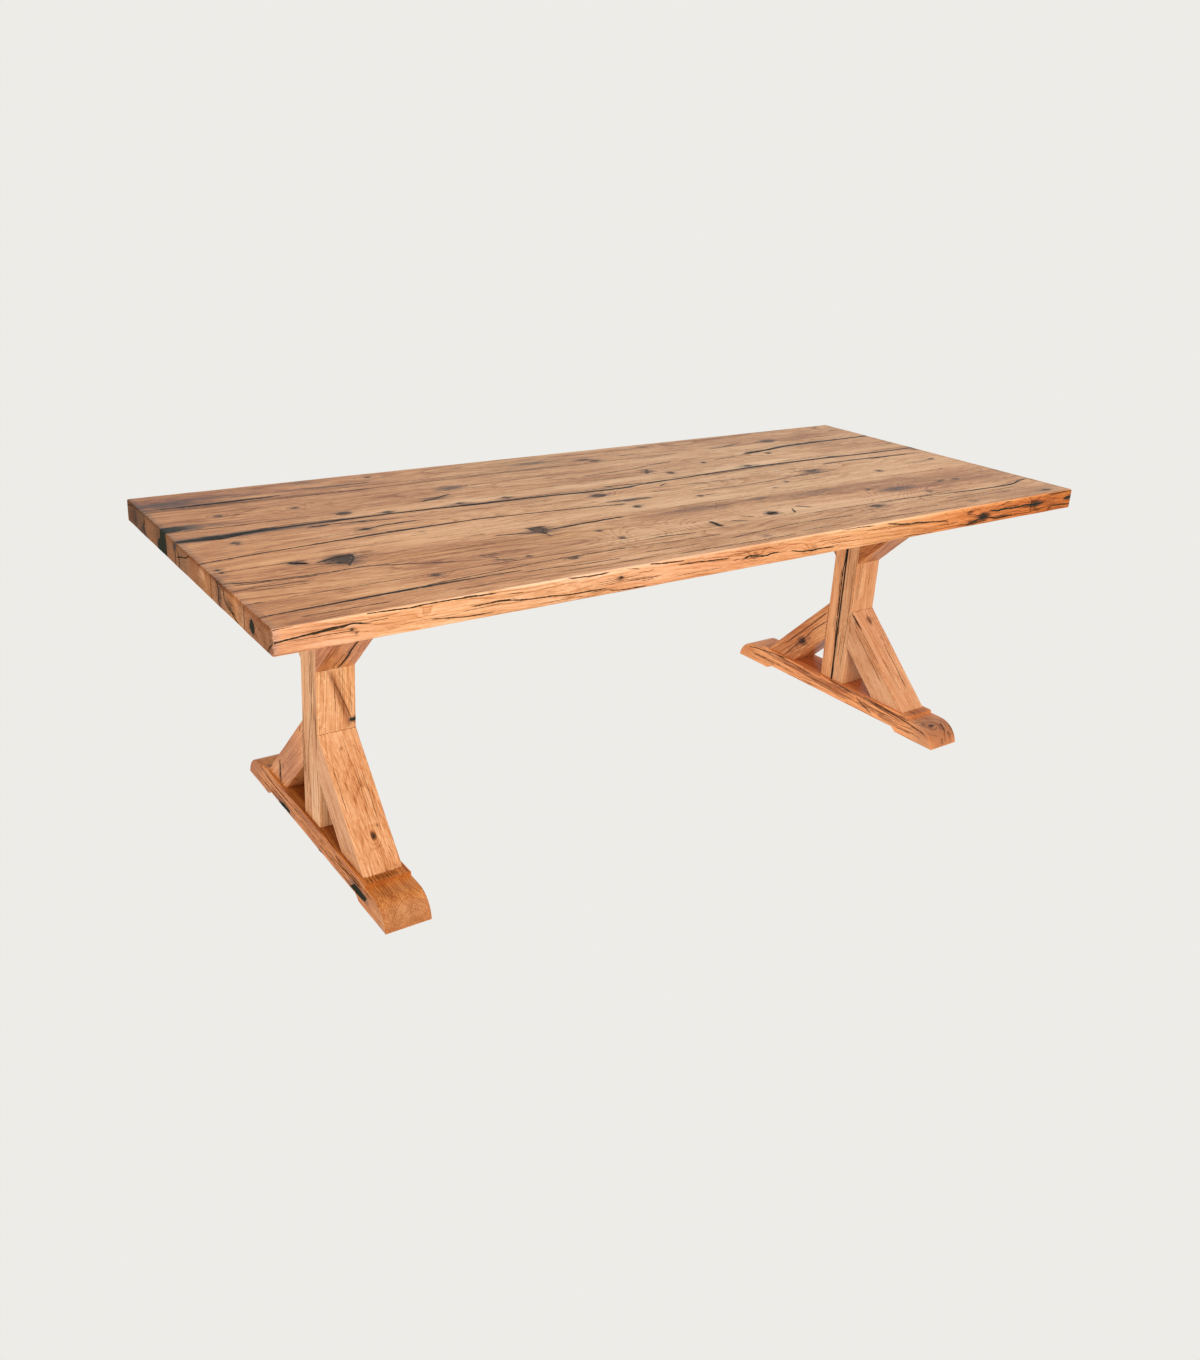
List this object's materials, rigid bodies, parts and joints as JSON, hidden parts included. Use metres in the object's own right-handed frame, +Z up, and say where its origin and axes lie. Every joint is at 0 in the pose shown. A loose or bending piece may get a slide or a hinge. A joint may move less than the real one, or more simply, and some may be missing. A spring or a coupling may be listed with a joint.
{
  "type": "trestle dining table",
  "caption": "Rectangular farmhouse dining table in reclaimed oak: a thick plank top with black resin fills on two braced trestle legs with long feet.",
  "frame": {"origin": "on the floor, under the middle of the table top", "axes": "+X along the table's length, +Y across it towards the back, +Z up"},
  "size_m": [2.4, 0.976, 0.78],
  "materials": {
    "oak_top": "oiled reclaimed oak, warm tan",
    "oak_frame": "oiled reclaimed oak, orange tan",
    "black_resin": "black epoxy resin, sanded",
    "beech_inner": "bare beech",
    "zinc_steel": "bright zinc plate"
  },
  "bodies": {
    "root": {"left_bearer": "oak_frame", "left_bearer_screws": "zinc_steel", "left_brace_tenons": "beech_inner", "left_foot": "oak_frame", "left_foot_resin": "black_resin", "left_foot_screws": "zinc_steel", "left_lower_brace_back": "oak_frame", "left_lower_brace_front": "oak_frame", "left_post_back_stave": "oak_frame", "left_post_front_stave": "oak_frame", "left_post_resin": "black_resin", "left_stave_tenons": "beech_inner", "left_top_screws": "zinc_steel", "left_top_washers": "zinc_steel", "left_upper_brace_back": "oak_frame", "left_upper_brace_front": "oak_frame", "right_bearer": "oak_frame", "right_bearer_screws": "zinc_steel", "right_brace_tenons": "beech_inner", "right_foot": "oak_frame", "right_foot_screws": "zinc_steel", "right_lower_brace_back": "oak_frame", "right_lower_brace_front": "oak_frame", "right_post_back_stave": "oak_frame", "right_post_front_stave": "oak_frame", "right_post_resin": "black_resin", "right_stave_tenons": "beech_inner", "right_top_screws": "zinc_steel", "right_top_washers": "zinc_steel", "right_upper_brace_back": "oak_frame", "right_upper_brace_front": "oak_frame", "top_end_resin": "black_resin", "top_knot_resin": "black_resin", "top_plank_back": "oak_top", "top_plank_back_edge": "oak_top", "top_plank_front": "oak_top", "top_plank_front_edge": "oak_top", "top_plank_middle": "oak_top", "top_plank_narrow": "oak_top", "top_seam_resin": "black_resin", "top_shake_resin": "black_resin", "top_tongues": "beech_inner"}
  },
  "joints": []
}
